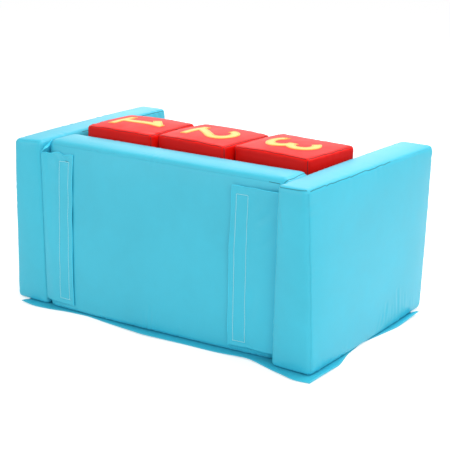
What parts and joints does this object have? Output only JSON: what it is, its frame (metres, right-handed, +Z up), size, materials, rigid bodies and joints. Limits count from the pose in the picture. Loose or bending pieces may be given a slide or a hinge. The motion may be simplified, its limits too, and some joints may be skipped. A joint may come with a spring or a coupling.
{
  "type": "soft-play brick container",
  "caption": "Padded soft-play container, open at the back: a front wall and end walls on a floor sheet, joined by closing flaps, holding stacks of soft numbered bricks.",
  "frame": {"origin": "middle of the underside, on the floor", "axes": "+X along the container from the left end wall to the right one, +Y from the front wall to the open back, +Z up"},
  "size_m": [1.1126, 0.665, 0.5305],
  "materials": {
    "turquoise_vinyl": "satin coated fabric",
    "red_vinyl": "satin coated fabric",
    "yellow_vinyl": "satin coated fabric",
    "foam": "open-cell foam",
    "loop_tape": "woven loop pile",
    "hook_tape": "woven hook tape",
    "zip_tape": "woven tape",
    "slider_metal": "enamelled"
  },
  "bodies": {
    "base": {"floor_sheet_lower": "turquoise_vinyl", "floor_sheet_upper": "turquoise_vinyl", "front_wall_cover": "turquoise_vinyl", "front_wall_foam": "foam", "front_wall_loop_strip_left": "loop_tape", "front_wall_loop_strip_right": "loop_tape", "front_wall_zip": "zip_tape"},
    "front_wall_zip_slider": {"front_wall_zip_slider": "slider_metal"},
    "left_end_wall": {"left_end_wall_cover": "turquoise_vinyl", "left_end_wall_foam": "foam", "left_end_wall_zip": "zip_tape"},
    "left_end_wall_zip_slider": {"left_end_wall_zip_slider": "slider_metal"},
    "left_flap": {"left_flap": "turquoise_vinyl", "left_flap_hook_strip": "hook_tape"},
    "right_end_wall": {"right_end_wall_cover": "turquoise_vinyl", "right_end_wall_foam": "foam", "right_end_wall_zip": "zip_tape"},
    "right_end_wall_zip_slider": {"right_end_wall_zip_slider": "slider_metal"},
    "right_flap": {"right_flap": "turquoise_vinyl", "right_flap_hook_strip": "hook_tape"},
    "brick_1_1": {"brick_1_1_cover": "red_vinyl", "brick_1_1_foam": "foam"},
    "brick_1_2": {"brick_1_2_cover": "red_vinyl", "brick_1_2_foam": "foam"},
    "brick_1_3": {"brick_1_3_cover": "red_vinyl", "brick_1_3_foam": "foam"},
    "brick_1_4": {"brick_1_4_cover": "red_vinyl", "brick_1_4_foam": "foam"},
    "brick_1_5": {"brick_1_5_cover": "red_vinyl", "brick_1_5_foam": "foam", "brick_1_5_numeral": "yellow_vinyl"},
    "brick_2_1": {"brick_2_1_cover": "red_vinyl", "brick_2_1_foam": "foam"},
    "brick_2_2": {"brick_2_2_cover": "red_vinyl", "brick_2_2_foam": "foam"},
    "brick_2_3": {"brick_2_3_cover": "red_vinyl", "brick_2_3_foam": "foam"},
    "brick_2_4": {"brick_2_4_cover": "red_vinyl", "brick_2_4_foam": "foam"},
    "brick_2_5": {"brick_2_5_cover": "red_vinyl", "brick_2_5_foam": "foam", "brick_2_5_numeral": "yellow_vinyl"},
    "brick_3_1": {"brick_3_1_cover": "red_vinyl", "brick_3_1_foam": "foam"},
    "brick_3_2": {"brick_3_2_cover": "red_vinyl", "brick_3_2_foam": "foam"},
    "brick_3_3": {"brick_3_3_cover": "red_vinyl", "brick_3_3_foam": "foam"},
    "brick_3_4": {"brick_3_4_cover": "red_vinyl", "brick_3_4_foam": "foam"},
    "brick_3_5": {"brick_3_5_cover": "red_vinyl", "brick_3_5_foam": "foam", "brick_3_5_numeral": "yellow_vinyl"}
  },
  "joints": [
    {"name": "front_wall_zip_slide", "type": "slide", "parent": "base", "child": "front_wall_zip_slider", "axis": [1, 0, 0], "range_m": [0, 0.69]},
    {"name": "left_end_wall_pull", "type": "slide", "parent": "base", "child": "left_end_wall", "axis": [-0.9982, -0.0599, 0], "range_m": [0, 0.3]},
    {"name": "left_end_wall_zip_slide", "type": "slide", "parent": "left_end_wall", "child": "left_end_wall_zip_slider", "axis": [0, 0, 1], "range_m": [0, 0.39]},
    {"name": "left_flap_hinge", "type": "hinge", "parent": "left_end_wall", "child": "left_flap", "pos_m": [-0.40541, -0.30412, 0.0227], "axis": [0.0701, -0.0918, -0.9933], "range_deg": [0, 140]},
    {"name": "right_end_wall_pull", "type": "slide", "parent": "base", "child": "right_end_wall", "axis": [0.9982, -0.0599, 0], "range_m": [0, 0.3]},
    {"name": "right_end_wall_zip_slide", "type": "slide", "parent": "right_end_wall", "child": "right_end_wall_zip_slider", "axis": [0, 0, 1], "range_m": [0, 0.39]},
    {"name": "right_flap_hinge", "type": "hinge", "parent": "right_end_wall", "child": "right_flap", "pos_m": [0.40704, -0.2593, 0.0227], "axis": [0.0612, 0.0299, 0.9977], "range_deg": [0, 85]},
    {"name": "brick_1_1_lift", "type": "slide", "parent": "base", "child": "brick_1_1", "axis": [0, 0, 1], "range_m": [0, 0.52]},
    {"name": "brick_1_2_lift", "type": "slide", "parent": "brick_1_1", "child": "brick_1_2", "axis": [0, 0, 1], "range_m": [0, 0.415]},
    {"name": "brick_1_3_lift", "type": "slide", "parent": "brick_1_2", "child": "brick_1_3", "axis": [0, 0, 1], "range_m": [0, 0.31]},
    {"name": "brick_1_4_lift", "type": "slide", "parent": "brick_1_3", "child": "brick_1_4", "axis": [0, 0, 1], "range_m": [0, 0.205]},
    {"name": "brick_1_5_lift", "type": "slide", "parent": "brick_1_4", "child": "brick_1_5", "axis": [0, 0, 1], "range_m": [0, 0.1]},
    {"name": "brick_2_1_lift", "type": "slide", "parent": "base", "child": "brick_2_1", "axis": [0, 0, 1], "range_m": [0, 0.52]},
    {"name": "brick_2_2_lift", "type": "slide", "parent": "brick_2_1", "child": "brick_2_2", "axis": [0, 0, 1], "range_m": [0, 0.415]},
    {"name": "brick_2_3_lift", "type": "slide", "parent": "brick_2_2", "child": "brick_2_3", "axis": [0, 0, 1], "range_m": [0, 0.31]},
    {"name": "brick_2_4_lift", "type": "slide", "parent": "brick_2_3", "child": "brick_2_4", "axis": [0, 0, 1], "range_m": [0, 0.205]},
    {"name": "brick_2_5_lift", "type": "slide", "parent": "brick_2_4", "child": "brick_2_5", "axis": [0, 0, 1], "range_m": [0, 0.1]},
    {"name": "brick_3_1_lift", "type": "slide", "parent": "base", "child": "brick_3_1", "axis": [0, 0, 1], "range_m": [0, 0.52]},
    {"name": "brick_3_2_lift", "type": "slide", "parent": "brick_3_1", "child": "brick_3_2", "axis": [0, 0, 1], "range_m": [0, 0.415]},
    {"name": "brick_3_3_lift", "type": "slide", "parent": "brick_3_2", "child": "brick_3_3", "axis": [0, 0, 1], "range_m": [0, 0.31]},
    {"name": "brick_3_4_lift", "type": "slide", "parent": "brick_3_3", "child": "brick_3_4", "axis": [0, 0, 1], "range_m": [0, 0.205]},
    {"name": "brick_3_5_lift", "type": "slide", "parent": "brick_3_4", "child": "brick_3_5", "axis": [0, 0, 1], "range_m": [0, 0.1]}
  ]
}
